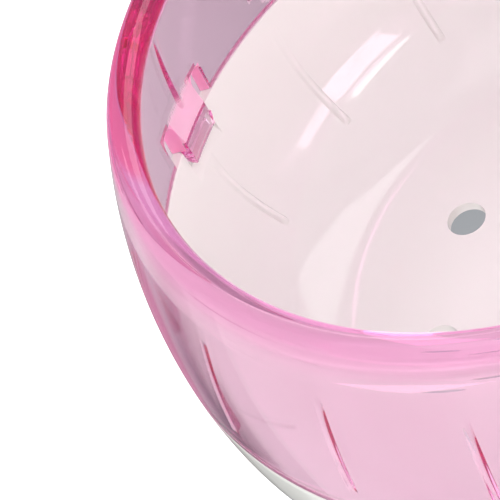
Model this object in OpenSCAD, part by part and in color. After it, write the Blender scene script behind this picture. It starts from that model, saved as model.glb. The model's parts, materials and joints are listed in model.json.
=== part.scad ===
// Hamster wheel: a drum in two halves, snapped together, that turns on a ball bearing.
// A bolt carries the bearing on a hollow mast, and the mast stands on a round foot plate.
// Millimetres. +Z is up, the drum's mouth faces -Y, and the origin lies on the floor
// under the middle of the foot plate. Depths in the drum count back from the bead's centre.

/* [Drum] */
// Outside diameter at the seam, where the drum is widest
drum_d = 120; // [116:1:122]
// Clear diameter of the mouth inside the bead
mouth_d = 101; // [99:0.5:103]
// Thickness of the round bead at the mouth
bead_d = 4.6; // [4:0.1:5]
// Radius of the fillet between the bead and the inside of the wall
bead_fillet_r = 4; // [3:0.1:5]
// Depth of the clear front ring, from the bead's centre to the seam
ring_depth = 28.8; // [27:0.1:30]
// Depth of the white rear dish, from the seam to its outer floor
dish_depth = 29.8; // [29:0.1:31]
// Wall thickness of both halves
wall = 1.6; // [1.4:0.1:1.8]
// Outside radius of the dish's corner
corner_r = 24; // [22:0.5:26]
// Gap between the two halves at the seam
seam_gap = 0.1; // [0.05:0.05:0.2]

/* [Running surface] */
// Height of a tread rib where it is highest
tread_h = 0.8; // [0.5:0.1:1]
// How deep the ribs are rooted in the wall
tread_root = 0.4; // [0.2:0.1:0.6]
// Number of tread ribs in the ring
ring_tread_count = 18; // [12:3:24]
// Direction of the ring's first rib, from +X towards +Z
ring_tread_angle = -20.9; // [-180:0.1:180]
// Width of a rib in the ring
ring_tread_w = 1.2; // [0.8:0.1:1.6]
// Depth at which the ring's ribs rise out of the wall
ring_tread_start = 9.6; // [8:0.1:12]
// Depth at which the ring's ribs end
ring_tread_end = 25.2; // [24:0.1:26]
// Number of tread ribs in the dish
dish_tread_count = 17; // [12:1:24]
// Direction of the dish's first rib, from +X towards +Z
dish_tread_angle = -20.4; // [-180:0.1:180]
// Width of a rib in the dish, at the seam
dish_tread_w = 1.6; // [1:0.1:2]
// Depth at which the dish's ribs rise out of the wall
dish_tread_start = 31; // [30:0.1:33]
// Depth at which the dish's ribs reach their full height
dish_tread_full = 48; // [45:0.5:50]
// Depth at which the dish's ribs end
dish_tread_end = 50.4; // [49:0.1:51]

/* [Snap tongues] */
// Number of snap tongues that hold the ring in the dish
snap_count = 3; // [2:1:3]
// Direction of the first tongue, from +X towards +Z
snap_angle = -20.5; // [-180:0.1:180]
// Width of a tongue at its root
snap_w = 8.3; // [7.6:0.1:9]
// Width of a tongue at its tip
snap_tip_w = 7; // [6.6:0.1:7.4]
// Width of the slot on each side of a tongue
slot_w = 3; // [2.6:0.1:3.6]
// Depth at which the slots begin
slot_start = 22.9; // [22:0.1:24]
// Depth at which a tongue begins to rise from the ring's wall
ramp_start = 22.6; // [21.5:0.1:23.5]
// Depth at which a tongue is fully raised
ramp_end = 27.3; // [26.5:0.1:28]
// Depth of a tongue's tip, inside the dish
snap_end = 32.2; // [32:0.1:32.6]
// Height of a tongue's inner face above the wall
snap_rise = 1; // [0.8:0.1:1.2]
// How far a tongue sinks into the dish's wall
snap_sink = 0.35; // [0.2:0.05:0.4]
// Height of the barb on a tongue
barb_h = 0.9; // [0.7:0.1:1]
// Width of the barb
barb_w = 6.2; // [5:0.1:6.4]
// Depth of the barb's catching face
barb_start = 30.4; // [30.3:0.1:30.6]
// Radial clearance between a tongue and its recess in the dish
snap_gap = 0.2; // [0.15:0.05:0.3]
// Clearance beside a tongue in its recess
recess_gap = 0.3; // [0.2:0.05:0.4]
// Depth at which the recess has run out into the wall
recess_end = 35.7; // [35:0.1:36.5]
// Width of the window in the recess that the barb catches in
window_w = 8.2; // [7:0.1:8.2]
// Clearance in front of the barb in its window
window_gap = 0.3; // [0.2:0.05:0.4]
// Depth at which the window ends
window_end = 33.2; // [33:0.1:33.6]

/* [Vents] */
// Number of round vents in the dish's floor
vent_count = 8; // [4:1:10]
// Diameter of a vent
vent_d = 5.8; // [4:0.1:7]
// Diameter of the circle the vents lie on
vent_circle_d = 56.6; // [52:0.2:62]
// Direction of the first vent, from +X towards +Z
vent_angle = -35.2; // [-180:0.1:180]

/* [Hub] */
// Outside diameter of the hub behind the dish
hub_d = 24; // [22.5:0.5:26]
// Length of the hub behind the dish's outer floor
hub_len = 8.4; // [8:0.1:9]
// Opening in the lip that stops the bearing
hub_lip_d = 12.4; // [11:0.1:13]
// Bore in front of the bearing that takes the cap's skirt
hub_front_d = 20.4; // [19:0.1:21]
// Number of gussets between the hub and the dish
gusset_count = 8; // [4:1:10]
// Thickness of a gusset
gusset_t = 1.5; // [1.2:0.1:2]
// How far out from the hub a gusset reaches
gusset_reach = 8; // [6:0.5:10]
// Height of a gusset at the hub
gusset_h = 4.5; // [3:0.5:6]
// Diameter of the cap over the hub, inside the drum
cap_d = 24.8; // [23:0.2:26]
// Height of the cap above the dish's floor
cap_h = 6.4; // [6:0.1:7]
// Wall thickness of the cap
cap_wall = 1.4; // [1.2:0.1:1.6]
// Length of the cap's skirt in the hub
cap_skirt = 2.4; // [1.5:0.1:2.6]

/* [Bearing] */
// Outside diameter of the ball bearing
bearing_od = 16; // [15:0.5:17]
// Bore of the ball bearing
bearing_id = 5; // [4:0.5:5.5]
// Width of the ball bearing
bearing_w = 5; // [4.6:0.1:5.2]
// Diameter of a ball
ball_d = 3; // [2.8:0.1:3]
// Number of balls
ball_count = 8; // [6:1:8]
// Outside diameter of the inner race
race_in_d = 8.6; // [8.4:0.1:8.8]
// Inside diameter of the outer race
race_out_d = 12.4; // [12.2:0.1:12.6]
// Clearance between balls, races and cage
ball_gap = 0.1; // [0.06:0.02:0.12]
// Thickness of a dust shield
shield_t = 0.25; // [0.2:0.05:0.3]
// Distance from the dish's outer floor back to the bearing
bearing_setback = 1.4; // [1.2:0.1:1.6]
// Radial clearance of seats that are pressed or slid together
seat_gap = 0.02; // [0.01:0.01:0.04]

/* [Axle] */
// Width across the flats of the bolt's head and of the nut
hex_af = 8; // [7.5:0.5:8.5]
// Height of the bolt's head
bolt_head_h = 3.5; // [3:0.1:3.6]
// Height of the lock nut
nut_h = 4.6; // [4:0.1:4.8]
// Thickness of the washer
washer_t = 1; // [0.8:0.1:1.1]
// Outside diameter of the washer and the spacer
washer_d = 8.2; // [7.6:0.1:8.2]
// Length of the spacer between the bearing and the mast
spacer_len = 4.5; // [4.2:0.1:6]
// How far the bolt stands out of the nut
bolt_tip = 1.2; // [0.8:0.1:1.3]
// Height of the axle above the floor
axle_z = 76; // [74:0.5:84]

/* [Mast] */
// Half width of the mast round the axle
mast_head_r = 15.5; // [14:0.5:18]
// How much wider the mast is at its foot, to each side
mast_flare = 8.5; // [6:0.5:9]
// Depth of the mast at the axle
mast_head_depth = 13; // [12.5:0.5:14]
// How much deeper the mast is at its foot
mast_foot_extra = 8; // [6:0.5:8]
// Wall thickness of the mast
mast_wall = 2.2; // [2:0.1:2.6]
// Radius of the mast's front edge
mast_edge_r = 3; // [2:0.5:3]
// Thickness of the cover on the mast's back
cover_t = 2.6; // [2.4:0.1:3]
// Radius of the cover's back edge
cover_edge_r = 1.8; // [1:0.1:1.8]
// Depth of the lip that centres the cover
cover_lip = 1.6; // [1.2:0.1:2]
// Height of the upper cover screw
cover_screw_high = 52; // [48:0.5:56]
// Height of the lower cover screw
cover_screw_low = 27; // [24:0.5:32]
// Distance of the mast's foot screws from the middle
foot_screw_x = 12; // [10:0.5:14]
// Distance of the mast's foot screws from its front face
foot_screw_y = 10.5; // [9.5:0.5:11]

/* [Screws] */
// Shank diameter of the self-tapping screws
screw_d = 2.5; // [2.2:0.1:2.8]
// Head diameter of the self-tapping screws
screw_head_d = 5; // [4.6:0.1:5.2]
// Head height of the self-tapping screws
screw_head_h = 1.7; // [1.4:0.1:1.7]
// Length of a cover screw's shank
cover_screw_len = 8; // [7:0.5:9]
// Length of a foot screw's shank
foot_screw_len = 12; // [10:0.5:13]
// Wall of the posts that the screws bite into
post_wall = 1.9; // [1.6:0.1:2.2]

/* [Foot plate] */
// Diameter of the foot plate
plate_d = 112; // [110:1:118]
// Height of the foot plate's top above the floor
plate_top = 10; // [9.5:0.5:11]
// Height of the foot plate's lower edge above the floor
plate_bottom = 2; // [1.5:0.1:2.5]
// Wall thickness of the foot plate
plate_wall = 2.4; // [2:0.1:2.6]
// Radius of the foot plate's upper edge
plate_edge_r = 5; // [4:0.5:5]
// Number of stiffening ribs under the foot plate
plate_ribs = 8; // [4:4:8]
// Thickness of the stiffening ribs
plate_rib_t = 1.5; // [1.2:0.1:2]
// Radius of the stiffening ring under the foot plate
plate_ring_r = 26; // [24:0.5:27]

/* [Feet] */
// Diameter of a rubber foot
foot_d = 13; // [11:0.5:14]
// Height of a rubber foot
foot_h = 3.4; // [3:0.1:4]
// Rounding of a rubber foot's lower edge
foot_edge_r = 0.8; // [0.5:0.1:1]
// Distance of the feet from the middle of the plate
foot_circle_r = 43; // [41:0.5:44]
// Clearance of a foot in its pocket
foot_gap = 0.1; // [0.05:0.05:0.2]
// How far the drum's bead lies behind the plate's front edge
mouth_setback = 7; // [4:0.5:10]

/* [Hidden] */
$fn = 96;

far = 200;
eps = 0.5;

clear_pink = [0.98, 0.50, 0.70, 0.45];
milk_white = [0.93, 0.92, 0.91];
steel = [0.72, 0.73, 0.75];
zinc = [0.62, 0.63, 0.65];
brass = [0.78, 0.64, 0.36];
rubber_grey = [0.30, 0.30, 0.31];

// Drum
drum_r = drum_d / 2;
bead_r = bead_d / 2;
bead_circle_r = mouth_d / 2 + bead_r;
// The ring's wall is an arc, upright at the seam, that runs tangent into the bead.
bead_inset = drum_r - bead_circle_r;
barrel_r = (bead_inset * bead_inset + ring_depth * ring_depth - bead_r * bead_r)
    / (2 * (bead_inset - bead_r));
barrel_centre = [drum_r - barrel_r, -ring_depth];
bead_turn = atan2(ring_depth, barrel_r - bead_inset);
bead_centre = [bead_circle_r, 0];
fillet_centre = meet(bead_centre, bead_r + bead_fillet_r,
    barrel_centre, barrel_r - wall - bead_fillet_r);
fillet_foot = barrel_centre + (barrel_r - wall / 2) * toward(barrel_centre, fillet_centre);
bead_foot = barrel_centre + (barrel_r - wall / 2) * toward(barrel_centre, bead_centre);

floor_depth = ring_depth + dish_depth;
corner_drop = dish_depth - corner_r;
corner_x = sqrt(pow(drum_r - corner_r, 2) - corner_drop * corner_drop);
corner_centre = [corner_x, -ring_depth - corner_drop];
corner_turn = atan2(-corner_drop, corner_x);

// Ribs: the crest is the wall's own curve, shifted so that it leaves the wall at the rib's start.
inner_r = drum_r - wall;
ring_tread_shift = [-tread_h, tread_h / tan(asin((ring_depth - ring_tread_start) / (barrel_r - wall)))];
dish_start_turn = asin((dish_tread_start - ring_depth) / inner_r);
dish_full_turn = asin((dish_tread_full - ring_depth - corner_drop) / (corner_r - wall));
dish_tread_lift = tread_h / (sin(dish_full_turn) - tan(dish_start_turn) * cos(dish_full_turn));
dish_tread_shift = [dish_tread_lift * tan(dish_start_turn), dish_tread_lift];

// Tongues: each lies in a recess of the dish, and its barb catches in a window below the rim.
tongue_in_r = inner_r - snap_rise;
tongue_out_r = inner_r + snap_sink;
snap_sector = 30;
barb_land = 0.3;
recess_x = tongue_out_r + snap_gap;
recess_run_x = inner_r - 0.7;
recess_knee = 0.3;
recess_inner_x = inner_r - 8;

// Depths along the axle
bearing_depth = floor_depth + bearing_setback;
bearing_mid = bearing_depth + bearing_w / 2;
bearing_back = bearing_depth + bearing_w;
ball_circle_r = (race_in_d + race_out_d) / 4;
hub_end = floor_depth + hub_len;
washer_depth = bearing_depth - washer_t;
nut_depth = washer_depth - nut_h;
bolt_end = nut_depth - bolt_tip;
bolt_r = bearing_id / 2;
mast_depth = bearing_back + spacer_len;
bolt_seat = 5.5;
bolt_seat_depth = mast_depth + bolt_seat;
hex_d = hex_af / cos(30);
hex_gap = 0.15;
boss_wall = 2.2;
boss_r = hex_d / 2 + boss_wall;
nut_collar_h = 1.4;
nut_collar_d = hex_af - 0.8;
cap_gap = 0.1;
cage_gap = 0.3;
cage_end_gap = 0.2;
shield_gap = 0.25;

// The plate's middle lies under the drum's hub side, so that the whole stands well balanced.
rim_y = mouth_setback - plate_d / 2;
mast_y = rim_y + mast_depth;
plate_r = plate_d / 2;
plate_under = plate_top - plate_wall;
post_r = screw_d / 2 + post_wall;
post_over = 2;
pilot_gap = 0.05;
screw_gap = 0.2;
head_gap = 0.5;
socket_w = 0.6;
cover_screw_z = [cover_screw_high, cover_screw_low];
cover_gap = 0.05;
lip_gap = 0.25;
lip_t = 1.2;
rib_rise = 1;
foot_count = 4;
foot_turn = 45;
side_steps = 14;
arc_steps = 30;
edge_steps = 5;

function toward(from, to) = (to - from) / norm(to - from);

// A point where two circles cross: the one to the right of the line between their centres.
function meet(c1, r1, c2, r2) =
    let (d = c2 - c1, len = norm(d), u = d / len)
    let (along = (r1 * r1 - r2 * r2 + len * len) / (2 * len))
    let (side = sqrt(r1 * r1 - along * along))
    c1 + along * u + side * [-u[1], u[0]];

function ring_inside(depth) =
    barrel_centre[0] + sqrt(pow(barrel_r - wall, 2) - pow(ring_depth - depth, 2));

function mast_share(z) = max(0, axle_z - z) / (axle_z - plate_top);
function mast_half_w(z) = mast_head_r + mast_flare * pow(mast_share(z), 3);
function mast_depth_at(z) = mast_head_depth + mast_foot_extra * pow(mast_share(z), 2);

// The mast's outline from the front, from the right foot over the head to the left foot.
function mast_side(inset, z0) = [
    for (k = [0 : side_steps])
        let (z = z0 + (axle_z - z0) * k / side_steps)
        [mast_half_w(z) - inset, z]
];
function mast_outline(inset, z0) =
    let (right = mast_side(inset, z0))
    let (head = [
        for (k = [1 : arc_steps - 1])
            let (a = 180 * k / arc_steps)
            [(mast_head_r - inset) * cos(a), axle_z + (mast_head_r - inset) * sin(a)]
    ])
    concat(right, head, [for (k = [side_steps : -1 : 0]) [-right[k][0], right[k][1]]]);

// A layer is [inset, share of the mast's depth, further depth].
function layer_points(layer, z0) = [
    for (p = mast_outline(layer[0], z0))
        [p[0], mast_y + layer[1] * mast_depth_at(p[1]) + layer[2], p[1]]
];
function edge_layers(radius) = [
    for (k = [0 : edge_steps])
        let (a = 90 * k / edge_steps)
        [radius * (1 - sin(a)), radius * (1 - cos(a))]
];

// Lofts a body through layers of the mast's outline, from front to back.
module mast_loft(layers, z0) {
    m = 2 * (side_steps + 1) + arc_steps - 1;
    last = (len(layers) - 1) * m;
    half = floor(m / 2);
    points = [for (l = layers) each layer_points(l, z0)];
    sides = [
        for (i = [0 : len(layers) - 2], j = [0 : m - 1])
            let (a = i * m + j, b = i * m + (j + 1) % m)
            each [[a, b, b + m], [a, b + m, a + m]]
    ];
    front = [for (j = [0 : half - 1]) each [[j, m - 1 - j, m - 2 - j], [j, m - 2 - j, j + 1]]];
    back = [
        for (j = [0 : half - 1])
            each [
                [last + j, last + j + 1, last + m - 2 - j],
                [last + j, last + m - 2 - j, last + m - 1 - j],
            ]
    ];
    polyhedron(points, concat(sides, [for (f = concat(front, back)) if (distinct(f)) f]));
}
function distinct(f) = f[0] != f[1] && f[1] != f[2] && f[2] != f[0];

// Drum frame: the axis is Z, the bead's centre plane is z = 0 and the mouth faces +Z.
module on_axle() {
    translate([0, rim_y, axle_z])
        rotate([90, 0, 0])
            children();
}
module at_depth(depth) {
    translate([0, 0, -depth])
        children();
}
module around(count, start) {
    for (i = [0 : count - 1])
        rotate([0, 0, start + i * 360 / count])
            children();
}
module meridian(width) {
    rotate([90, 0, 0])
        linear_extrude(width, center = true)
            children();
}
module sector(angle) {
    rotate([0, 0, -angle / 2])
        rotate_extrude(angle = angle)
            children();
}
module pipe(r_out, r_in, length) {
    difference() {
        cylinder(r = r_out, h = length);
        translate([0, 0, -eps])
            cylinder(r = r_in, h = length + 2 * eps);
    }
}

module barrel(inset) {
    translate(barrel_centre)
        circle(barrel_r - inset);
}
module ring_section() {
    translate(bead_centre)
        circle(bead_r);
    intersection() {
        difference() {
            barrel(0);
            barrel(wall);
        }
        translate(barrel_centre)
            square(far);
        translate(barrel_centre)
            rotate(bead_turn - 90)
                square(far);
    }
    difference() {
        polygon([bead_centre, fillet_centre, fillet_foot, bead_foot]);
        translate(fillet_centre)
            circle(bead_fillet_r);
    }
}
module ring_tread() {
    meridian(ring_tread_w)
        intersection() {
            difference() {
                barrel(wall - tread_root);
                translate(ring_tread_shift)
                    barrel(wall);
            }
            translate([0, -ring_tread_end])
                square([far, ring_tread_end - ring_tread_start]);
        }
}
module snap_slot() {
    slot_top = slot_start + slot_w / 2;
    at_depth(slot_top)
        rotate([0, 90, 0])
            cylinder(d = slot_w, h = far);
    translate([0, -slot_w / 2, -ring_depth - eps])
        cube([far, slot_w, ring_depth + eps - slot_top]);
}
module snap_sides() {
    rotate([90, 0, 90])
        linear_extrude(far)
            polygon([
                [snap_w / 2, 0],
                [-snap_w / 2, 0],
                [-snap_w / 2, -ring_depth],
                [-snap_tip_w / 2, -snap_end],
                [snap_tip_w / 2, -snap_end],
                [snap_w / 2, -ring_depth],
            ]);
}
module snap_tongue() {
    intersection() {
        sector(snap_sector)
            polygon([
                [ring_inside(ramp_start) + tread_root, -ramp_start],
                [ring_inside(ramp_start), -ramp_start],
                [tongue_in_r, -ramp_end],
                [tongue_in_r, -snap_end],
                [tongue_out_r, -snap_end],
                [tongue_out_r, eps - ring_depth],
            ]);
        snap_sides();
    }
    intersection() {
        sector(snap_sector)
            polygon([
                [tongue_out_r - tread_root, -barb_start],
                [tongue_out_r + barb_h, -barb_start],
                [tongue_out_r + barb_h, -barb_start - barb_land],
                [tongue_out_r, -snap_end],
                [tongue_out_r - tread_root, -snap_end],
            ]);
        translate([0, -barb_w / 2, -floor_depth])
            cube([far, barb_w, floor_depth]);
    }
}
module front_ring() {
    color(clear_pink)
        on_axle() {
            difference() {
                union() {
                    rotate_extrude()
                        ring_section();
                    around(ring_tread_count, ring_tread_angle)
                        ring_tread();
                }
                around(snap_count, snap_angle)
                    for (side = [-1, 1])
                        translate([0, side * (snap_w + slot_w) / 2, 0])
                            snap_slot();
            }
            around(snap_count, snap_angle)
                snap_tongue();
        }
}

module dish_corner() {
    translate(corner_centre)
        polygon([
            [0, 0],
            [0, -far],
            [far, -far],
            far * [cos(corner_turn), sin(corner_turn)],
        ]);
}
module dish_solid(inset, top) {
    difference() {
        intersection() {
            translate([0, -ring_depth])
                circle(drum_r - inset);
            translate([0, inset - floor_depth])
                square([far, floor_depth - inset - top]);
        }
        dish_corner();
    }
    intersection() {
        dish_corner();
        translate(corner_centre)
            circle(corner_r - inset);
    }
}
module dish_tread() {
    sector(dish_tread_w / inner_r * 180 / PI)
        intersection() {
            difference() {
                dish_solid(wall - tread_root, ring_depth + seam_gap);
                translate(dish_tread_shift)
                    dish_solid(wall, 0);
            }
            translate([0, -dish_tread_end])
                square([far, dish_tread_end - dish_tread_start]);
        }
}
module gusset() {
    meridian(gusset_t)
        polygon([
            [hub_d / 2 - eps, -floor_depth + wall / 2],
            [hub_d / 2 + gusset_reach, -floor_depth + wall / 2],
            [hub_d / 2 + gusset_reach, -floor_depth],
            [hub_d / 2, -floor_depth - gusset_h],
            [hub_d / 2 - eps, -floor_depth - gusset_h],
        ]);
}
module snap_recess() {
    meridian(snap_w + 2 * recess_gap)
        polygon([
            [recess_inner_x, eps - ring_depth],
            [recess_x, eps - ring_depth],
            [recess_x, recess_knee - window_end],
            [recess_run_x, -recess_end],
            [recess_inner_x, -recess_end],
        ]);
    translate([recess_inner_x, -window_w / 2, -window_end])
        cube([far, window_w, window_end - barb_start + window_gap]);
}
module rear_dish() {
    color(milk_white)
        on_axle()
            difference() {
                union() {
                    rotate_extrude()
                        difference() {
                            dish_solid(0, ring_depth + seam_gap);
                            dish_solid(wall, ring_depth - eps);
                        }
                    around(dish_tread_count, dish_tread_angle)
                        dish_tread();
                    at_depth(hub_end)
                        cylinder(d = hub_d, h = hub_len + wall);
                    around(gusset_count, vent_angle + 180 / vent_count)
                        gusset();
                }
                around(vent_count, vent_angle)
                    translate([vent_circle_d / 2, 0, -floor_depth - eps])
                        cylinder(d = vent_d, h = wall + 2 * eps);
                around(snap_count, snap_angle)
                    snap_recess();
                at_depth(bearing_depth)
                    cylinder(d = hub_front_d, h = far);
                at_depth(bearing_back)
                    cylinder(r = bearing_od / 2 + seat_gap, h = bearing_w + eps);
                at_depth(hub_end + eps)
                    cylinder(d = hub_lip_d, h = hub_len);
            }
}

module cap_dome(radius, height) {
    dome_r = (radius * radius + height * height) / (2 * height);
    intersection() {
        translate([0, height - dome_r])
            circle(dome_r);
        square([radius, height]);
    }
}
module hub_cap() {
    skirt_r = hub_front_d / 2 - cap_gap;
    color(milk_white)
        on_axle()
            at_depth(floor_depth - wall)
                rotate_extrude() {
                    difference() {
                        cap_dome(cap_d / 2, cap_h);
                        cap_dome(skirt_r - cap_wall, cap_h - cap_wall);
                    }
                    translate([skirt_r - cap_wall, -cap_skirt])
                        square([cap_wall, cap_skirt + eps]);
                }
}

module race_groove() {
    translate([ball_circle_r, bearing_w / 2])
        circle(ball_d / 2 + ball_gap);
}
module bearing_inner_race() {
    color(steel)
        on_axle()
            at_depth(bearing_back)
                rotate_extrude()
                    difference() {
                        translate([bolt_r + seat_gap, 0])
                            square([race_in_d / 2 - bolt_r - seat_gap, bearing_w]);
                        race_groove();
                    }
}
module bearing_outer_race() {
    color(steel)
        on_axle()
            at_depth(bearing_back)
                rotate_extrude()
                    difference() {
                        translate([race_out_d / 2, 0])
                            square([(bearing_od - race_out_d) / 2, bearing_w]);
                        race_groove();
                    }
}
module bearing_balls() {
    color(steel)
        on_axle()
            at_depth(bearing_mid)
                around(ball_count, 0)
                    translate([ball_circle_r, 0, 0])
                        sphere(d = ball_d);
}
module bearing_cage() {
    cage_w = race_out_d / 2 - race_in_d / 2 - 2 * cage_gap;
    cage_back = bearing_w / 2 - shield_t - cage_end_gap;
    color(brass)
        on_axle()
            at_depth(bearing_mid)
                difference() {
                    at_depth(cage_back)
                        pipe(ball_circle_r + cage_w / 2, ball_circle_r - cage_w / 2, cage_back + ball_d / 3);
                    around(ball_count, 0)
                        translate([ball_circle_r, 0, 0])
                            sphere(r = ball_d / 2 + ball_gap);
                }
}
module bearing_shields() {
    shield_in = race_in_d / 2 + shield_gap;
    shield_out = race_out_d / 2 - seat_gap;
    color(zinc)
        on_axle()
            for (depth = [bearing_depth + shield_t, bearing_back])
                at_depth(depth)
                    pipe(shield_out, shield_in, shield_t);
}

module axle_bolt() {
    color(zinc)
        on_axle() {
            at_depth(bolt_seat_depth)
                cylinder(r = bolt_r, h = bolt_seat_depth - bolt_end);
            at_depth(bolt_seat_depth + bolt_head_h)
                cylinder(d = hex_d, h = bolt_head_h, $fn = 6);
        }
}
module axle_spacer() {
    color(steel)
        on_axle()
            at_depth(mast_depth)
                pipe(washer_d / 2, bolt_r + seat_gap, spacer_len);
}
module axle_washer() {
    color(zinc)
        on_axle()
            at_depth(bearing_depth)
                pipe(washer_d / 2, bolt_r + seat_gap, washer_t);
}
module lock_nut() {
    color(zinc)
        on_axle()
            at_depth(washer_depth)
                difference() {
                    union() {
                        cylinder(d = hex_d, h = nut_h - nut_collar_h, $fn = 6);
                        cylinder(d = nut_collar_d, h = nut_h);
                    }
                    translate([0, 0, -eps])
                        cylinder(r = bolt_r + seat_gap, h = nut_h + 2 * eps);
                }
}

module along_y(x, y, z) {
    translate([x, y, z])
        rotate([-90, 0, 0])
            children();
}
module foot_screw_places() {
    for (side = [-1, 1])
        translate([side * foot_screw_x, mast_y + foot_screw_y, 0])
            children();
}
module mast_shell() {
    front_edge = [for (e = edge_layers(mast_edge_r)) [e[0], 0, e[1]]];
    difference() {
        mast_loft(concat(front_edge, [[0, 1, 0]]), plate_top);
        mast_loft([[mast_wall, 0, mast_wall], [mast_wall, 1, eps]], plate_top + mast_wall);
    }
}
module mast() {
    post_len = foot_screw_len + post_over;
    color(milk_white)
        difference() {
            union() {
                mast_shell();
                along_y(0, mast_y + mast_wall / 2, axle_z)
                    cylinder(r = boss_r, h = bolt_seat + bolt_head_h - mast_wall / 2);
                for (z = cover_screw_z)
                    along_y(0, mast_y + mast_wall / 2, z)
                        cylinder(r = post_r, h = mast_depth_at(z) - cover_lip - mast_wall / 2);
                foot_screw_places()
                    translate([0, 0, plate_top + mast_wall / 2])
                        cylinder(r = post_r, h = post_len - mast_wall / 2);
            }
            along_y(0, mast_y - eps, axle_z)
                cylinder(r = bolt_r + seat_gap, h = bolt_seat + 2 * eps);
            along_y(0, mast_y + bolt_seat, axle_z)
                cylinder(d = hex_d + 2 * hex_gap, h = bolt_head_h + eps, $fn = 6);
            for (z = cover_screw_z)
                along_y(0, mast_y + mast_depth_at(z) - cover_screw_len, z)
                    cylinder(r = screw_d / 2 + pilot_gap, h = cover_screw_len);
            foot_screw_places()
                translate([0, 0, plate_top - eps])
                    cylinder(r = screw_d / 2 + pilot_gap, h = foot_screw_len + eps);
        }
}
module mast_cover() {
    back_edge = [
        for (k = [edge_steps : -1 : 0])
            let (e = edge_layers(cover_edge_r)[k])
            [e[0], 1, cover_t - e[1]]
    ];
    color(milk_white)
        difference() {
            union() {
                mast_loft(concat([[0, 1, cover_gap]], back_edge), plate_top + cover_gap);
                difference() {
                    mast_loft([[mast_wall + lip_gap, 1, -cover_lip], [mast_wall + lip_gap, 1, eps]],
                        plate_top + mast_wall + lip_gap);
                    mast_loft([[mast_wall + lip_gap + lip_t, 1, -2 * cover_lip],
                        [mast_wall + lip_gap + lip_t, 1, cover_gap]],
                        plate_top + mast_wall + lip_gap + lip_t);
                }
            }
            for (z = cover_screw_z) {
                along_y(0, mast_y + mast_depth_at(z) - cover_lip, z)
                    cylinder(r = screw_d / 2 + screw_gap, h = far);
                along_y(0, mast_y + mast_depth_at(z) + cover_t - screw_head_h, z)
                    cylinder(d = screw_head_d + 2 * screw_gap, h = far);
            }
        }
}
module tapping_screw(length) {
    socket_d = screw_head_d / 2;
    difference() {
        union() {
            cylinder(d = screw_head_d, h = screw_head_h);
            translate([0, 0, screw_head_h - eps])
                cylinder(d = screw_d, h = length + eps);
        }
        for (turn = [0, 90])
            rotate([0, 0, turn])
                translate([-socket_d / 2, -socket_w / 2, -eps])
                    cube([socket_d, socket_w, screw_head_h / 2 + eps]);
    }
}
module cover_screws() {
    color(zinc)
        for (z = cover_screw_z)
            along_y(0, mast_y + mast_depth_at(z) + cover_t, z)
                mirror([0, 0, 1])
                    tapping_screw(cover_screw_len);
}
module mast_screws() {
    color(zinc)
        foot_screw_places()
            translate([0, 0, plate_under - screw_head_h])
                tapping_screw(foot_screw_len);
}

module plate_section(inset) {
    edge_r = plate_edge_r - inset;
    edge_x = plate_r - plate_edge_r;
    edge_z = plate_top - plate_edge_r;
    square([edge_x, plate_top - inset]);
    square([plate_r - inset, edge_z]);
    translate([edge_x, edge_z])
        circle(edge_r);
}
module foot_places() {
    around(foot_count, foot_turn)
        translate([foot_circle_r, 0, 0])
            children();
}
module foot_plate() {
    pocket_top = foot_h + foot_gap;
    rib_bottom = plate_bottom + rib_rise;
    color(milk_white)
        difference() {
            union() {
                rotate_extrude()
                    intersection() {
                        difference() {
                            plate_section(0);
                            plate_section(plate_wall);
                        }
                        translate([0, plate_bottom])
                            square(far);
                    }
                for (i = [0 : plate_ribs - 1])
                    rotate([0, 0, i * 360 / plate_ribs])
                        translate([plate_ring_r - eps, -plate_rib_t / 2, rib_bottom])
                            cube([plate_r - plate_wall - plate_ring_r + 2 * eps, plate_rib_t,
                                plate_under - rib_bottom + eps]);
                translate([0, 0, rib_bottom])
                    pipe(plate_ring_r, plate_ring_r - plate_rib_t, plate_under - rib_bottom + eps);
                foot_places()
                    translate([0, 0, plate_bottom])
                        cylinder(d = foot_d + 2 * plate_rib_t, h = plate_under - plate_bottom + eps);
            }
            foot_places()
                cylinder(r = foot_d / 2 + foot_gap, h = pocket_top);
            foot_screw_places()
                translate([0, 0, plate_bottom])
                    cylinder(r = screw_d / 2 + screw_gap, h = plate_top);
            foot_screw_places()
                translate([0, 0, plate_bottom])
                    cylinder(d = screw_head_d + 2 * head_gap, h = plate_under - plate_bottom);
        }
}
module rubber_foot(turn) {
    color(rubber_grey)
        rotate([0, 0, turn])
            translate([foot_circle_r, 0, 0])
                rotate_extrude() {
                    square([foot_d / 2 - foot_edge_r, foot_h]);
                    translate([0, foot_edge_r])
                        square([foot_d / 2, foot_h - foot_edge_r]);
                    translate([foot_d / 2 - foot_edge_r, foot_edge_r])
                        circle(foot_edge_r);
                }
}

foot_plate();
rubber_foot(-foot_turn);  // foot_front_right
rubber_foot(-3 * foot_turn);  // foot_front_left
rubber_foot(3 * foot_turn);  // foot_rear_left
rubber_foot(foot_turn);  // foot_rear_right
mast();
mast_cover();
cover_screws();
mast_screws();
axle_bolt();
axle_spacer();
axle_washer();
lock_nut();
bearing_inner_race();
bearing_outer_race();
bearing_balls();
bearing_cage();
bearing_shields();
rear_dish();
front_ring();
hub_cap();
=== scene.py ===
import json
import math

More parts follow.
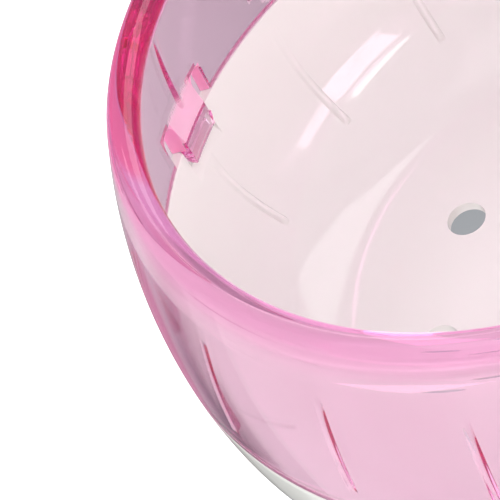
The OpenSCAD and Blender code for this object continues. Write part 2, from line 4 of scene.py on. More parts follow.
import bmesh
import bpy
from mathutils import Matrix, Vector


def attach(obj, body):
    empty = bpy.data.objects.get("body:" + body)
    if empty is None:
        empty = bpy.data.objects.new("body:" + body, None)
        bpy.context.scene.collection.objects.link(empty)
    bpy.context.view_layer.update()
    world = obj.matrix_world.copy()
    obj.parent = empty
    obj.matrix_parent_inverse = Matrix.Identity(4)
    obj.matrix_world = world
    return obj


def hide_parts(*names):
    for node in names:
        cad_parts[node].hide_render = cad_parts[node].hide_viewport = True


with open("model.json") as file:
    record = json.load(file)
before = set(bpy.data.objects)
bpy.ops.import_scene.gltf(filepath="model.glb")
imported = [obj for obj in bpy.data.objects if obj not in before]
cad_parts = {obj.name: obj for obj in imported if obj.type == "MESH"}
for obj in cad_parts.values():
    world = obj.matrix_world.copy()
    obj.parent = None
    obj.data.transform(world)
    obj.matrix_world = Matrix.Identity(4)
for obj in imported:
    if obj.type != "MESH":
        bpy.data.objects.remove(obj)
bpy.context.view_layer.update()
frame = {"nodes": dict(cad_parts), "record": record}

# Sizes of the drum in millimetres. Depths count back from the bead's centre plane.
MM = 0.001
RIM_Y, AXLE_Z = -49.0, 76.0
DRUM_R, WALL, RING_DEPTH, DISH_DEPTH = 60.0, 1.6, 28.8, 29.8
INNER_R, FLOOR_DEPTH = DRUM_R - WALL, RING_DEPTH + DISH_DEPTH
FLOOR_IN = FLOOR_DEPTH - WALL
BEAD_R, BEAD_CIRCLE, BEAD_FILLET = 2.3, 52.8, 4.0
CORNER_R, SEAM_GAP = 24.0, 0.1
SEAM_DEPTH = RING_DEPTH + SEAM_GAP

# The broken edges at the seam: their reach, and how far their middle lies inside the corner.
EDGE, EDGE_CUT = 0.12, 0.035

# Tread ribs: how many, the first one's angle, their width and full height, the depths where they start,
# have the full height and end, the length of the rounded end, the radius where they are narrowest, and
# the steps of the wall between two ribs.
RING_TREAD = {"count": 18, "angle": -20.9, "width": 1.4, "height": 0.8, "start": 7.6, "full": RING_DEPTH,
              "end": 24.5, "round": 0.7, "radius": 50.0, "plain": 16}
DISH_TREAD = {"count": 17, "angle": -20.4, "width": 1.3, "height": 0.6, "start": 31.0, "full": 48.0,
              "end": 50.4, "round": 1.3, "radius": 48.0, "plain": 10}

# Steps from a rib's crest to beside it, as shares of half its width.
RIB_STEPS = (0, 0.16, 0.33, 0.5, 0.65, 0.8, 0.92, 1.0, 1.12)

# Snap tongues of the ring, and the slots beside them, which taper outwards by a share per millimetre.
SNAPS, SNAP_ANGLE, SNAP_W, SNAP_TIP_W = 3, -20.5, 8.3, 7.0
SLOT_W, SLOT_START, SLOT_DRAFT = 3.0, 22.9, 0.26
SLOT_EDGE = SNAP_W / 2 + SLOT_W
RAMP_START, RAMP_END, SNAP_END = 22.6, 27.3, 32.2
TONGUE_IN, TONGUE_OUT = INNER_R - 1.0, INNER_R + 0.35

# A ramp's root in the wall, its lead before it rises, the share of it that is curved, and its crest.
RAMP_ROOT, RAMP_LEAD, RAMP_SOFT, RAMP_CREST = 0.5, 0.4, 0.35, 0.05
RAMP_STEPS, TONGUE_STEPS = 14, 12

# A tongue's broken edges at the tip and the back, how far its back reaches into the wall and the depth
# where that starts, and the width on each side that the slots cut off.
TIP_CUT, BACK_CUT, BACK_STEP, BACK_START = 0.25, 0.2, 0.3, 25.0
TONGUE_SPARE = 0.5

# A tongue's barb, its root in the tongue, and how deep its thin end is sunk there.
BARB_START, BARB_H, BARB_W = 30.4, 0.9, 6.2
BARB_ROOT, BARB_SINK = 0.4, 0.1

# The dish's recess and window for a tongue, and the radii between which they are cut.
RECESS_X, RECESS_W, RECESS_END, RECESS_RISE = INNER_R + 0.55, 8.9, 35.7, 0.7
WINDOW_START, WINDOW_END, WINDOW_W = 30.1, 33.2, 8.2
RECESS_FROM, WINDOW_FROM, WINDOW_TO = 50.0, 56.0, 64.0

VENTS, VENT_ANGLE, VENT_D, VENT_R = 8, -35.2, 5.8, 28.3
HUB_R, HUB_END, HUB_LIP_R, HUB_FRONT_R = 12.0, 67.0, 6.2, 10.2
HUB_CUT, HUB_FRONT_CUT, HUB_FILLET, HUB_FILLET_MIDDLE = 0.4, 0.3, 0.8, 0.25
BEARING_R, BEARING_DEPTH, BEARING_W = 8.02, 60.0, 5.0
GUSSETS, GUSSET_T, GUSSET_REACH, GUSSET_H, GUSSET_ROOT = 8, 1.5, 8.0, 4.5, 0.5
FLAT_INSET = 0.5

# How far a cut reaches past a face, and the angle up to which an edge looks round.
CUT_PAST = 1.0
SMOOTH_ANGLE = math.radians(35)


def place(angle, along, depth, across=0.0):
    """A point of the drum in metres: along a spoke at this angle, at a depth, and beside the spoke."""
    t = math.radians(angle)
    return ((along * math.cos(t) - across * math.sin(t)) * MM, (RIM_Y + depth) * MM,
            (AXLE_Z + along * math.sin(t) + across * math.cos(t)) * MM)


def spokes(count, first):
    """Angles that are evenly spaced round the drum."""
    return [first + 360 / count * k for k in range(count)]


def arc(centre, radius, start, stop, steps):
    points = []
    for i in range(steps + 1):
        t = math.radians(start + (stop - start) * i / steps)
        points.append((centre[0] + radius * math.cos(t), centre[1] + radius * math.sin(t)))
    return points


def meet(c1, r1, c2, r2):
    """The point that lies r1 from c1 and r2 from c2, on the right of the way from c1 to c2."""
    dx, dy = c2[0] - c1[0], c2[1] - c1[1]
    length = math.hypot(dx, dy)
    along = (r1 * r1 - r2 * r2 + length * length) / (2 * length)
    side = math.sqrt(r1 * r1 - along * along)
    ux, uy = dx / length, dy / length
    return (c1[0] + along * ux + side * uy, c1[1] + along * uy - side * ux)


def shade(obj):
    obj.data.polygons.foreach_set("use_smooth", [True] * len(obj.data.polygons))
    obj.data.set_sharp_from_angle(angle=SMOOTH_ANGLE)


def new_object(name, verts, faces):
    mesh = bpy.data.meshes.new(name)
    mesh.from_pydata(verts, [], faces)
    mesh.validate()
    obj = bpy.data.objects.new(name, mesh)
    bpy.context.scene.collection.objects.link(obj)
    shade(obj)
    return obj


def lathe(name, loop, angles, lift):
    """Turns a closed loop of (radius, depth) points round the axle. lift moves a point by its angle."""
    verts, faces, m, k = [], [], len(loop), len(angles)
    for angle in angles:
        for i, (r, d) in enumerate(loop):
            verts.append(place(angle, *lift(i, r, d, angle)))
    for a in range(k):
        for i in range(m):
            b, j = (a + 1) % k, (i + 1) % m
            faces.append((a * m + i, b * m + i, b * m + j, a * m + j))
    return new_object(name, verts, faces)


def prism(outline, low, high, point):
    """Extrudes an outline of (u, v) points from low to high. point(u, v, w) places a corner."""
    m = len(outline)
    verts = [point(u, v, low) for u, v in outline] + [point(u, v, high) for u, v in outline]
    faces = [tuple(range(m - 1, -1, -1)), tuple(range(m, 2 * m))]
    faces += [(i, (i + 1) % m, m + (i + 1) % m, m + i) for i in range(m)]
    return verts, faces


def plate(angle, outline, width):
    """Extrudes an outline of (along, depth) points to both sides of a spoke."""
    return prism(outline, -width / 2, width / 2, lambda x, d, s: place(angle, x, d, s))


def together(name, shapes):
    """One object from several (verts, faces) shapes."""
    verts, faces = [], []
    for v, f in shapes:
        start = len(verts)
        verts += v
        faces += [tuple(start + i for i in face) for face in f]
    return new_object(name, verts, faces)


def fix_normals(obj):
    bm = bmesh.new()
    bm.from_mesh(obj.data)
    bmesh.ops.recalc_face_normals(bm, faces=bm.faces)
    bm.to_mesh(obj.data)
    bm.free()


def boolean(target, other, operation):
    for obj in (target, other):
        fix_normals(obj)
    mod = target.modifiers.new("cut", "BOOLEAN")
    mod.operation, mod.object, mod.solver = operation, other, "MANIFOLD"
    graph = bpy.context.evaluated_depsgraph_get()
    mesh = bpy.data.meshes.new_from_object(target.evaluated_get(graph))
    target.modifiers.clear()
    target.data = mesh
    bpy.data.objects.remove(other)
    shade(target)


def tread_angles(tread):
    """Angles round the drum, close together on the tread ribs."""
    half = math.degrees(tread["width"] / 2 / tread["radius"])
    near = [half * share for share in RIB_STEPS]
    near = [-a for a in near[:0:-1]] + near
    gap = 360 / tread["count"] - 2 * near[-1]
    angles = []
    for base in spokes(tread["count"], tread["angle"]):
        angles += [base + a for a in near]
        angles += [base + near[-1] + gap * i / tread["plain"] for i in range(1, tread["plain"])]
    return angles


def rib_share(tread, angle, r, d):
    """How much of its height a rib has here, from 1 on its crest to 0 beside it and at its end."""
    step = 360 / tread["count"]
    off = (angle - tread["angle"] + step / 2) % step - step / 2
    across = abs(math.radians(off) * r) / (tread["width"] / 2)
    if across >= 1:
        return 0.0
    ending = max(0.0, d - tread["end"] + tread["round"]) / tread["round"]
    return math.sqrt(max(0.0, 1 - ending ** 2)) * (1 - across * across)


# Front ring
def make_ring():
    """A barrel that runs tangent into a round bead, with tread ribs, slots and snap tongues."""
    inset = DRUM_R - BEAD_CIRCLE
    barrel = (inset ** 2 + RING_DEPTH ** 2 - BEAD_R ** 2) / (2 * (inset - BEAD_R))
    centre, bead = (DRUM_R - barrel, RING_DEPTH), (BEAD_CIRCLE, 0.0)
    turn = -math.degrees(math.atan2(RING_DEPTH, barrel - inset))
    fillet = meet(bead, BEAD_R + BEAD_FILLET, centre, barrel - WALL - BEAD_FILLET)
    to_fillet = math.degrees(math.atan2(fillet[1] - bead[1], fillet[0] - bead[0]))
    to_wall = math.degrees(math.atan2(fillet[1] - centre[1], fillet[0] - centre[0]))
    rim = -math.degrees(EDGE / barrel)
    loop = [(DRUM_R - EDGE_CUT, RING_DEPTH - EDGE_CUT)]
    loop += arc(centre, barrel, rim, turn, steps=30)
    loop += arc(bead, BEAD_R, turn, to_fillet - 360, steps=40)[1:]
    loop += arc(fillet, BEAD_FILLET, to_fillet - 180, to_wall, steps=8)[1:]
    first = len(loop)
    loop += arc(centre, barrel - WALL, to_wall, rim, steps=60)[1:]
    last = len(loop)
    loop += [(INNER_R + EDGE_CUT, RING_DEPTH - EDGE_CUT), (INNER_R + EDGE, RING_DEPTH),
             (DRUM_R - EDGE, RING_DEPTH)]
    tread = RING_TREAD

    def lift(i, r, d, angle):
        if not first <= i < last or not tread["start"] < d < tread["end"]:
            return r, d
        h = tread["height"] * (d - tread["start"]) / (tread["full"] - tread["start"])
        h *= rib_share(tread, angle, r, d)
        n = math.hypot(r - centre[0], d - centre[1])
        return r - h * (r - centre[0]) / n, d - h * (d - centre[1]) / n

    def inside(d):
        return centre[0] + math.sqrt((barrel - WALL) ** 2 - (RING_DEPTH - d) ** 2)

    ring = lathe("ring_shell", loop, tread_angles(tread), lift)
    angles = spokes(SNAPS, SNAP_ANGLE)
    slots = [slot_cut(angle, side * (SNAP_W + SLOT_W) / 2) for angle in angles for side in (-1, 1)]
    boolean(ring, together("tongues", [tongue(angle, inside) for angle in angles]), "UNION")
    boolean(ring, together("slots", slots), "DIFFERENCE")
    boolean(ring, together("barbs", [barb(angle) for angle in angles]), "UNION")
    return ring


def slot_cut(angle, middle):
    """A round-ended slot beside a tongue, narrower on the outside of the wall."""
    top = SLOT_START + SLOT_W / 2
    outline = arc((middle, top), SLOT_W / 2, 180, 360, steps=24)
    outline += [(middle + SLOT_W / 2, RING_DEPTH + CUT_PAST), (middle - SLOT_W / 2, RING_DEPTH + CUT_PAST)]

    def drafted(s, d, x):
        share = 1 - SLOT_DRAFT * (x - INNER_R)
        depth = d if d > top else top + (d - top) * share
        return place(angle, x, depth, middle + (s - middle) * share)

    return prism(outline, INNER_R - 2 * CUT_PAST, DRUM_R + CUT_PAST, drafted)


def tongue(angle, inside):
    """A snap tongue with its ramp, curved with the drum. Its sides close in towards the tip."""
    low, length = inside(RAMP_START), RAMP_END - RAMP_START
    rise = low - TONGUE_IN
    profile = [(low + RAMP_ROOT, RAMP_START - RAMP_LEAD)]
    steps = [i / RAMP_STEPS for i in range(RAMP_STEPS)]
    for u in steps + [1 - 3 * RAMP_CREST / length, 1 - RAMP_CREST / length]:
        share = u * u / (2 * RAMP_SOFT) if u < RAMP_SOFT else u - RAMP_SOFT / 2
        profile.append((low - rise * share / (1 - RAMP_SOFT / 2), RAMP_START + length * u))
    profile += [(TONGUE_IN, RAMP_END + RAMP_CREST), (TONGUE_IN, RAMP_END + 3 * RAMP_CREST),
                (TONGUE_IN, SNAP_END - 2 * TIP_CUT), (TONGUE_IN, SNAP_END - TIP_CUT),
                (TONGUE_IN + TIP_CUT, SNAP_END), (TONGUE_OUT - BACK_CUT, SNAP_END),
                (TONGUE_OUT, SNAP_END - BACK_CUT), (TONGUE_OUT, RING_DEPTH - BACK_STEP),
                (inside(BACK_START) + RAMP_ROOT, BACK_START)]

    def half_width(d):
        if d <= RING_DEPTH:
            return SNAP_W / 2 + TONGUE_SPARE
        share = (d - RING_DEPTH) / (SNAP_END - RING_DEPTH)
        return SNAP_W / 2 + (SNAP_TIP_W - SNAP_W) / 2 * share

    shares = [i / TONGUE_STEPS - 1 for i in range(2 * TONGUE_STEPS + 1)]
    m, verts, faces = len(profile), [], []
    for share in shares:
        for r, d in profile:
            s = share * half_width(d)
            verts.append(place(angle, math.sqrt(r * r - s * s), d, s))
    for a in range(len(shares) - 1):
        for i in range(m):
            j = (i + 1) % m
            faces.append((a * m + i, a * m + j, (a + 1) * m + j, (a + 1) * m + i))
    faces += [tuple(range(m)), tuple(range((len(shares) - 1) * m, len(shares) * m))]
    return verts, faces


def barb(angle):
    """The barb on a tongue's back, which seats in the dish's window."""
    root, crest, end = TONGUE_OUT - BARB_ROOT, TONGUE_OUT + BARB_H, SNAP_END - TIP_CUT
    outline = [(root, BARB_START), (crest, BARB_START), (crest, BARB_START + BARB_H / 3),
               (TONGUE_OUT - BARB_SINK, end), (root, end)]
    return plate(angle, outline, BARB_W)


# Rear dish
def make_dish():
    """A ball-shaped wall with a rounded corner, a flat floor, a hub, tread ribs, vents and windows."""
    drop = DISH_DEPTH - CORNER_R
    corner = (math.sqrt((DRUM_R - CORNER_R) ** 2 - drop ** 2), RING_DEPTH + drop)
    turn = math.degrees(math.atan2(drop, corner[0]))
    ball = (0.0, RING_DEPTH)
    rim = math.degrees((EDGE + SEAM_GAP) / DRUM_R)
    loop = [(INNER_R + EDGE, SEAM_DEPTH), (INNER_R + EDGE_CUT, SEAM_DEPTH + EDGE_CUT)]
    first = len(loop)
    loop += arc(ball, INNER_R, rim, turn, steps=22)
    loop += arc(corner, CORNER_R - WALL, turn, 90, steps=90)[1:]
    last = len(loop)
    loop += floor_and_hub(corner[0] - FLAT_INSET)
    loop += arc(corner, CORNER_R, 90, turn, steps=40)
    loop += arc(ball, DRUM_R, turn, rim, steps=10)[1:]
    loop += [(DRUM_R - EDGE_CUT, SEAM_DEPTH + EDGE_CUT), (DRUM_R - EDGE, SEAM_DEPTH)]
    tread = DISH_TREAD

    def slope(d):
        if d < corner[1] + (CORNER_R - WALL) * math.sin(math.radians(turn)):
            return math.asin((d - RING_DEPTH) / INNER_R)
        return math.asin(min(1.0, (d - corner[1]) / (CORNER_R - WALL)))

    lean, full = math.tan(slope(tread["start"])), slope(tread["full"])
    rise = tread["height"] / (math.sin(full) - lean * math.cos(full))

    def lift(i, r, d, angle):
        if not first <= i < last or not tread["start"] < d < tread["end"]:
            return r, d
        t = slope(d)
        h = rise * (math.sin(t) - lean * math.cos(t))
        h *= rib_share(tread, angle, r, d)
        return r - h * math.cos(t), d - h * math.sin(t)

    dish = lathe("dish_shell", loop, tread_angles(tread), lift)
    snaps = spokes(SNAPS, SNAP_ANGLE)
    gussets = [gusset(angle) for angle in spokes(GUSSETS, VENT_ANGLE + 180 / VENTS)]
    holes = [vent_cut(angle) for angle in spokes(VENTS, VENT_ANGLE)]
    holes += [window_cut(angle) for angle in snaps]
    boolean(dish, together("gussets", gussets), "UNION")
    boolean(dish, together("recesses", [recess_cut(angle) for angle in snaps]), "DIFFERENCE")
    boolean(dish, together("holes", holes), "DIFFERENCE")
    return dish


def floor_and_hub(flat_r):
    """The dish's outline from its inner floor through the hub's bore and round its back."""
    bearing_end = BEARING_DEPTH + BEARING_W
    vents_in = VENT_R - VENT_D
    return [(flat_r, FLOOR_IN), (vents_in, FLOOR_IN), (HUB_FRONT_R + HUB_FRONT_CUT, FLOOR_IN),
            (HUB_FRONT_R, FLOOR_IN + HUB_FRONT_CUT), (HUB_FRONT_R, BEARING_DEPTH),
            (BEARING_R, BEARING_DEPTH), (BEARING_R, bearing_end),
            (HUB_LIP_R, bearing_end), (HUB_LIP_R, HUB_END),
            (HUB_R - HUB_CUT, HUB_END), (HUB_R, HUB_END - HUB_CUT),
            (HUB_R, FLOOR_DEPTH + HUB_FILLET),
            (HUB_R + HUB_FILLET_MIDDLE, FLOOR_DEPTH + HUB_FILLET_MIDDLE),
            (HUB_R + HUB_FILLET, FLOOR_DEPTH), (vents_in, FLOOR_DEPTH), (flat_r, FLOOR_DEPTH)]


def gusset(angle):
    """A rib between the hub and the back of the floor."""
    root, reach, low = HUB_R - GUSSET_ROOT, HUB_R + GUSSET_REACH, FLOOR_DEPTH - WALL / 2
    outline = [(root, low), (reach, low), (reach, FLOOR_DEPTH), (HUB_R, FLOOR_DEPTH + GUSSET_H),
               (root, FLOOR_DEPTH + GUSSET_H)]
    return plate(angle, outline, GUSSET_T)


def vent_cut(angle):
    outline = arc((0.0, VENT_R), VENT_D / 2, 0, 360, steps=48)[:-1]
    return prism(outline, FLOOR_IN - CUT_PAST, FLOOR_DEPTH + CUT_PAST,
                 lambda s, x, d: place(angle, x, d, s))


def recess_cut(angle):
    """The shallow recess that a tongue lies in."""
    start = SEAM_DEPTH - CUT_PAST
    outline = [(RECESS_FROM, start), (RECESS_X, start), (RECESS_X, WINDOW_END),
               (INNER_R - RECESS_RISE, RECESS_END), (RECESS_FROM, RECESS_END)]
    return plate(angle, outline, RECESS_W)


def window_cut(angle):
    """The window that a barb seats in."""
    half = WINDOW_W / 2
    outline = [(-half, WINDOW_START), (half, WINDOW_START), (half, WINDOW_END), (-half, WINDOW_END)]
    return prism(outline, WINDOW_FROM, WINDOW_TO, lambda s, d, x: place(angle, x, d, s))


# Materials
PLASTIC_IOR = 1.5
BUMP_DEPTH = 0.5 * MM
NOISE_LOW, NOISE_HIGH = 0.3, 0.7
GRAIN_FINER, GRAIN_DETAIL, METAL_GRAIN = 25, 4.0, 1500.0
PLASTIC_GLOSS, METAL_GLOSS, METAL_DARK = (0.8, 1.25), (0.7, 1.3), 0.85

# The clear ring: its two tones, its frosted places' colours, and the pink that deepens with thickness.
CLEAR_LIGHT, CLEAR_DARK = (1.0, 0.89, 0.945), (1.0, 0.85, 0.925)
RAMP_COLOUR, SLOT_COLOUR, SEAM_COLOUR = (1.0, 0.60, 0.76), (1.0, 0.42, 0.66), (0.92, 0.68, 0.80)
DEEP_PINK, DEEP_PINK_DENSITY = (0.995, 0.28, 0.79), 152.0
CLEAR_ROUGH, CLEAR_BUMP = (0.02, 0.05), 0.03
CLEAR_GRAIN, CLEAR_GRAIN_DETAIL, CLEAR_CLOUD = 900.0, 3.0, 45.0
FROST_ROUGH, FROST_MILK, SEAM_FROST = 0.35, 0.75, 0.7

# Where the frost sets in: the millimetres at which it is none and full, by depth, width or radius.
RAMP_FROST_START = (RAMP_START - 1.4, RAMP_START + 1.0)
RAMP_FROST_END = (RAMP_END + 0.06, RAMP_END - 0.02)
RAMP_FROST_SIDE = (SNAP_W / 2 + 0.05, SNAP_W / 2 - 0.15)
RAMP_FROST_BACK = (INNER_R + 0.7, INNER_R + 0.4)
SLOT_FROST_IN = (SNAP_W / 2 - 0.3, SNAP_W / 2 - 0.2)
SLOT_FROST_OUT = (SLOT_EDGE + 0.15, SLOT_EDGE + 0.05)
SLOT_FROST_START = (SLOT_START - 0.15, SLOT_START - 0.05)
SLOT_FROST_END = (RING_DEPTH + 0.2, RING_DEPTH + 0.1)
SLOT_FROST_SKIN = (DRUM_R - 0.02, DRUM_R - 0.08)
SEAM_FROST_START = (RING_DEPTH - 0.22, RING_DEPTH - 0.16)
SEAM_FROST_SIDE = (SLOT_EDGE, SLOT_EDGE + 0.1)


def new_material(name):
    """A material, its nodes and its shader."""
    mat = bpy.data.materials.new(name)
    mat.use_nodes = True
    return mat, mat.node_tree, mat.node_tree.nodes["Principled BSDF"]


def noise(tree, scale, detail=2.0):
    coords = tree.nodes.new("ShaderNodeTexCoord")
    node = tree.nodes.new("ShaderNodeTexNoise")
    node.inputs["Scale"].default_value = scale
    node.inputs["Detail"].default_value = detail
    tree.links.new(coords.outputs["Object"], node.inputs["Vector"])
    return node.outputs["Fac"]


def map_range(tree, source, start, stop, low=0.0, high=1.0, soft="LINEAR"):
    """Goes from low, where the source is start, to high, where it is stop."""
    node = tree.nodes.new("ShaderNodeMapRange")
    node.interpolation_type = soft
    for socket, value in (("From Min", start), ("From Max", stop), ("To Min", low), ("To Max", high)):
        node.inputs[socket].default_value = value
    tree.links.new(source, node.inputs["Value"])
    return node.outputs["Result"]


def tint(tree, source, a, b):
    """Mixes two colours, or sockets that carry colours, by the source."""
    node = tree.nodes.new("ShaderNodeMix")
    node.data_type = "RGBA"
    for socket, colour in (("A", a), ("B", b)):
        if isinstance(colour, tuple):
            node.inputs[socket].default_value = (*colour, 1)
        else:
            tree.links.new(colour, node.inputs[socket])
    tree.links.new(source, node.inputs["Factor"])
    return node.outputs["Result"]


def maths(tree, operation, a, b=None):
    """A maths node on sockets or numbers."""
    node = tree.nodes.new("ShaderNodeMath")
    node.operation = operation
    for socket, value in zip(node.inputs, (a, b)):
        if isinstance(value, (int, float)):
            socket.default_value = value
        elif value is not None:
            tree.links.new(value, socket)
    return node.outputs["Value"]


def product(tree, first, *others):
    for other in others:
        first = maths(tree, "MULTIPLY", first, other)
    return first


def bump(tree, bsdf, source, strength):
    node = tree.nodes.new("ShaderNodeBump")
    node.inputs["Strength"].default_value = strength
    node.inputs["Distance"].default_value = BUMP_DEPTH
    tree.links.new(source, node.inputs["Height"])
    tree.links.new(node.outputs["Normal"], bsdf.inputs["Normal"])


def plastic(name, light, dark, rough, bumpy=0.02, scale=60.0):
    """Moulded plastic or rubber, with faint clouds in its colour and a fine grain in its gloss."""
    mat, tree, bsdf = new_material(name)
    cloud, fine = noise(tree, scale), noise(tree, scale * GRAIN_FINER, GRAIN_DETAIL)
    gloss = [rough * share for share in PLASTIC_GLOSS]
    tree.links.new(tint(tree, cloud, dark, light), bsdf.inputs["Base Color"])
    tree.links.new(map_range(tree, fine, NOISE_LOW, NOISE_HIGH, *gloss), bsdf.inputs["Roughness"])
    bsdf.inputs["IOR"].default_value = PLASTIC_IOR
    bump(tree, bsdf, cloud, bumpy)
    return mat


def frost_masks(tree):
    """Masks of the ring's frosted places: the tongues' ramps, the slots' walls and the edge at the seam."""
    coords = tree.nodes.new("ShaderNodeTexCoord")
    axes = tree.nodes.new("ShaderNodeSeparateXYZ")
    tree.links.new(coords.outputs["Object"], axes.inputs[0])
    x, y, z = axes.outputs
    up = maths(tree, "SUBTRACT", z, AXLE_Z * MM)
    r = maths(tree, "SQRT", maths(tree, "ADD", product(tree, x, x), product(tree, up, up)))
    sector = math.tau / SNAPS
    turned = maths(tree, "SUBTRACT", maths(tree, "ARCTAN2", up, x), math.radians(SNAP_ANGLE) - sector / 2)
    off = maths(tree, "SUBTRACT", maths(tree, "FLOORED_MODULO", turned, sector), sector / 2)
    across = product(tree, maths(tree, "ABSOLUTE", off), r)
    depth = maths(tree, "SUBTRACT", y, RIM_Y * MM)

    def fade(source, limits, soft="LINEAR"):
        none, full = limits
        return map_range(tree, source, none * MM, full * MM, soft=soft)

    ramps = product(tree, fade(depth, RAMP_FROST_START, "SMOOTHSTEP"), fade(depth, RAMP_FROST_END),
                    fade(across, RAMP_FROST_SIDE), fade(r, RAMP_FROST_BACK))
    slots = product(tree, fade(across, SLOT_FROST_IN), fade(across, SLOT_FROST_OUT),
                    fade(depth, SLOT_FROST_START), fade(depth, SLOT_FROST_END), fade(r, SLOT_FROST_SKIN))
    seam = product(tree, fade(depth, SEAM_FROST_START), fade(across, SEAM_FROST_SIDE))
    return ramps, slots, seam


def clear_plastic(name):
    """See-through plastic whose pink deepens with its thickness, frosted in places."""
    mat, tree, bsdf = new_material(name)
    fine, cloud = noise(tree, CLEAR_GRAIN, CLEAR_GRAIN_DETAIL), noise(tree, CLEAR_CLOUD)
    ramps, slots, seam = frost_masks(tree)
    frost = maths(tree, "MAXIMUM", ramps, slots)
    frost = maths(tree, "MAXIMUM", frost, maths(tree, "MULTIPLY", seam, SEAM_FROST))
    rough = map_range(tree, fine, NOISE_LOW, NOISE_HIGH, *CLEAR_ROUGH)
    rough = maths(tree, "ADD", rough, maths(tree, "MULTIPLY", frost, FROST_ROUGH))
    tree.links.new(rough, bsdf.inputs["Roughness"])
    clear = tint(tree, cloud, CLEAR_LIGHT, CLEAR_DARK)
    frosted = tint(tree, seam, tint(tree, slots, RAMP_COLOUR, SLOT_COLOUR), SEAM_COLOUR)
    tree.links.new(tint(tree, frost, clear, frosted), bsdf.inputs["Base Color"])
    clarity = maths(tree, "SUBTRACT", 1.0, maths(tree, "MULTIPLY", frost, FROST_MILK))
    tree.links.new(clarity, bsdf.inputs["Transmission Weight"])
    bsdf.inputs["IOR"].default_value = PLASTIC_IOR
    bump(tree, bsdf, cloud, CLEAR_BUMP)
    volume = tree.nodes.new("ShaderNodeVolumeAbsorption")
    volume.inputs["Color"].default_value = (*DEEP_PINK, 1)
    volume.inputs["Density"].default_value = DEEP_PINK_DENSITY
    tree.links.new(volume.outputs["Volume"], tree.nodes["Material Output"].inputs["Volume"])
    return mat


def metal(name, colour, rough):
    """Metal with a fine grain in its colour and gloss."""
    mat, tree, bsdf = new_material(name)
    fine = noise(tree, METAL_GRAIN, GRAIN_DETAIL)
    darker = tuple(c * METAL_DARK for c in colour)
    gloss = [rough * share for share in METAL_GLOSS]
    tree.links.new(tint(tree, fine, darker, colour), bsdf.inputs["Base Color"])
    tree.links.new(map_range(tree, fine, NOISE_LOW, NOISE_HIGH, *gloss), bsdf.inputs["Roughness"])
    bsdf.inputs["Metallic"].default_value = 1.0
    return mat


materials = {
    "clear_pink": clear_plastic("clear_pink"),
    "milk_white": plastic("milk_white", light=(0.874, 0.877, 0.832), dark=(0.859, 0.862, 0.817), rough=0.06),
    "stand_white": plastic("stand_white", light=(0.75, 0.737, 0.729), dark=(0.73, 0.717, 0.709), rough=0.28,
                           bumpy=0.05),
    "zinc": metal("zinc", colour=(0.66, 0.67, 0.69), rough=0.3),
    "bearing_steel": metal("bearing_steel", colour=(0.74, 0.75, 0.77), rough=0.18),
    "cage_brass": metal("cage_brass", colour=(0.78, 0.62, 0.34), rough=0.3),
    "foot_rubber": plastic("foot_rubber", light=(0.09, 0.09, 0.095), dark=(0.07, 0.07, 0.075), rough=0.7,
                           bumpy=0.2, scale=900.0),
}


# The pieces and their materials
def dress(obj, mat):
    obj.data.materials.clear()
    obj.data.materials.append(mat)


for part in frame["record"]["subparts"]:
    node, material = frame["nodes"][part["node"]], materials[part["material_slot"]]
    if not node.material_slots:
        node.data.materials.append(material)
    for slot in node.material_slots:
        slot.material = material

ring = make_ring()
dress(ring, materials["clear_pink"])
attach(ring, "drum")
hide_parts("front_ring")

dish = make_dish()
dress(dish, materials["milk_white"])
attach(dish, "drum")
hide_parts("rear_dish")

# The floor, in metres
FLOOR_REACH, FLOOR_ROUGH = 3.0, 0.8
FLOOR_COLOUR = (0.60, 0.60, 0.61)

# Mirrored or seen through the clear plastic, the floor has painted shade, darker where the drum would
# shade it, and painted light, pinkish where the ring would colour the light. A patch has a centre, the
# distances where it starts to fade and is gone, and a colour.
FLOOR_PAINTED_LIGHT_AND_SHADE = [
    ((0.080, 0.060), (0.055, 0.085), (0.49, 0.49, 0.50)),
    ((0.155, -0.030), (0.050, 0.090), (0.66, 0.27, 0.36)),
    ((0.140, 0.112), (0.032, 0.058), (0.50, 0.28, 0.37)),
    ((0.138, 0.178), (0.024, 0.047), (0.13, 0.13, 0.13)),
    ((0.330, 0.280), (0.130, 0.260), (0.15, 0.15, 0.155)),
]

# Seen straight, it is paler, with the dish's grey shade and the ring's pink shade painted behind the stand.
PALE_FLOOR = (0.74, 0.74, 0.745)
SHADE_CENTRE = (0.030, 0.054)
GREY_SHADE, GREY_REACH = (0.305, 0.316, 0.337), (0.033, 0.052)
PINK_SHADE, PINK_REACH = (0.66, 0.46, 0.57), (0.050, 0.066)

# Right of that shade it is pure white, up to some way from the drum.
WHITE_FROM_X, WHITE_OUTSIDE = (0.010, 0.076), (0.055, 0.0665)
WHITE_CENTRE, WHITE_REACH = (0.120, 0.070), (0.080, 0.350)


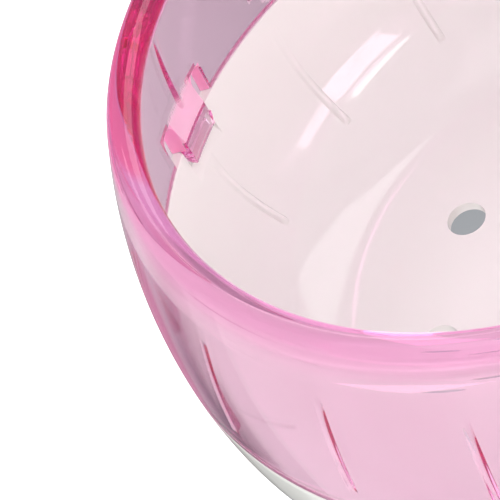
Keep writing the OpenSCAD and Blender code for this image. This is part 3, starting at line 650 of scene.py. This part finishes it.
def floor_material():
    mat, tree, bsdf = new_material("floor")
    bsdf.inputs["Roughness"].default_value = FLOOR_ROUGH
    bsdf.inputs["Emission Color"].default_value = (1, 1, 1, 1)
    seen = tree.nodes.new("ShaderNodeLightPath").outputs["Is Camera Ray"]
    position = tree.nodes.new("ShaderNodeNewGeometry").outputs["Position"]

    def spot(centre, reach):
        """Rises from 0 to 1 between two distances from a place on the floor."""
        away = tree.nodes.new("ShaderNodeVectorMath")
        away.operation = "DISTANCE"
        away.inputs[1].default_value = (*centre, 0.0)
        tree.links.new(position, away.inputs[0])
        return map_range(tree, away.outputs["Value"], *reach, soft="SMOOTHSTEP")

    painted_floor = FLOOR_COLOUR
    # Painted shade and painted pink light, for rays that are not the camera's.
    for centre, reach, colour in FLOOR_PAINTED_LIGHT_AND_SHADE:
        painted_floor = tint(tree, spot(centre, reach), colour, painted_floor)
    # Painted pink shade, then painted grey shade, on the floor as the camera sees it.
    pale_with_painted_shade = tint(tree, spot(SHADE_CENTRE, PINK_REACH), PINK_SHADE, PALE_FLOOR)
    pale_with_painted_shade = tint(tree, spot(SHADE_CENTRE, GREY_REACH), GREY_SHADE, pale_with_painted_shade)
    tree.links.new(tint(tree, seen, painted_floor, pale_with_painted_shade), bsdf.inputs["Base Color"])

    axes = tree.nodes.new("ShaderNodeSeparateXYZ")
    tree.links.new(position, axes.inputs[0])
    right = map_range(tree, axes.outputs["X"], *WHITE_FROM_X, soft="SMOOTHSTEP")
    near = maths(tree, "SUBTRACT", 1.0, spot(WHITE_CENTRE, WHITE_REACH))
    bright = product(tree, right, near, spot(SHADE_CENTRE, WHITE_OUTSIDE), seen)
    tree.links.new(bright, bsdf.inputs["Emission Strength"])
    return mat


floor_mesh = bpy.data.meshes.new("floor")
floor_corners = [(x * FLOOR_REACH, y * FLOOR_REACH, 0) for x, y in ((-1, -1), (1, -1), (1, 1), (-1, 1))]
floor_mesh.from_pydata(floor_corners, [], [(0, 1, 2, 3)])
floor_mesh.materials.append(floor_material())
floor = bpy.data.objects.new("floor", floor_mesh)
bpy.context.scene.collection.objects.link(floor)

# The studio, which is brightest before the drum's mouth
SKY_TOWARD, SKY_FACING, SKY_LEVEL = (-0.50, -0.85, 0.10), (-0.9, 0.7), (1.05, 1.12)

world = bpy.data.worlds.new("studio")
bpy.context.scene.world = world
world.use_nodes = True
sky = world.node_tree
direction = sky.nodes.new("ShaderNodeTexCoord")
facing = sky.nodes.new("ShaderNodeVectorMath")
facing.operation = "DOT_PRODUCT"
facing.inputs[1].default_value = SKY_TOWARD
sky.links.new(direction.outputs["Generated"], facing.inputs[0])
back = sky.nodes["Background"]
back.inputs["Color"].default_value = (1, 1, 1, 1)
sky.links.new(map_range(sky, facing.outputs["Value"], *SKY_FACING, *SKY_LEVEL), back.inputs["Strength"])

# Lamps, in metres and watts
CARD_Z, CARD_AIM_Z = 0.002, 1.0


def softbox(name, position, target, size, power, shape="RECTANGLE"):
    data = bpy.data.lights.new(name, "AREA")
    data.shape = shape
    data.size, data.size_y = size
    data.energy = power
    obj = bpy.data.objects.new(name, data)
    obj.location = position
    obj.rotation_euler = (Vector(target) - Vector(position)).to_track_quat("-Z", "Y").to_euler()
    obj.visible_camera = False
    bpy.context.scene.collection.objects.link(obj)
    return obj


def floor_card(name, x, y, **look):
    """A white card on the floor that lights the rim, but isn't seen through the clear ring."""
    card = softbox(name, (x, y, CARD_Z), (x, y, CARD_AIM_Z), **look)
    card.visible_transmission = False


softbox("key", position=(-0.398, -0.173, 0.328), target=(0.036, -0.002, 0.036),
        size=(0.236, 0.19), power=0.92)
softbox("strip", position=(-0.458, -0.176, 0.177), target=(0.049, -0.002, 0.053),
        size=(0.075, 0.134), power=0.17)
softbox("front", position=(0.05, -0.7, 0.25), target=(0, -0.02, 0.076), size=(0.5, 0.4), power=0.40)
floor_card("rim_card", x=0.012, y=-0.155, size=(0.15, 0.03), power=0.035)
floor_card("card", x=-0.016, y=-0.111, size=(0.09, 0.08), power=0.038, shape="ELLIPSE")
# This one only shines through the clear ring.
glow = softbox("glow", position=(0.36, -0.20, 0.50), target=(0.03, -0.04, 0.08),
               size=(0.45, 0.20), power=1.4)
glow.visible_diffuse = glow.visible_glossy = False

# Light is thrown to and fro many times inside the clear plastic.
BOUNCES = 256
scene = bpy.context.scene
scene.view_settings.view_transform = "Standard"
scene.cycles.max_bounces = BOUNCES
scene.cycles.glossy_bounces = BOUNCES
scene.cycles.transmission_bounces = BOUNCES

# The camera: place in metres, turn in degrees, lens and sensor in millimetres
CAMERA_PLACE, CAMERA_TURN = (-0.085746, -0.368041, 0.381086), (-51.03467, 0.0, 159.27129)
CAMERA_LENS, CAMERA_SENSOR, CAMERA_CLIP = 252.0, 36.0, (0.01, 20)

camera_data = bpy.data.cameras.new("camera")
camera_data.lens, camera_data.sensor_width = CAMERA_LENS, CAMERA_SENSOR
camera_data.clip_start, camera_data.clip_end = CAMERA_CLIP
camera = bpy.data.objects.new("camera", camera_data)
camera.location = CAMERA_PLACE
camera.rotation_euler = tuple(math.radians(a) for a in CAMERA_TURN)
scene.collection.objects.link(camera)
scene.camera = camera
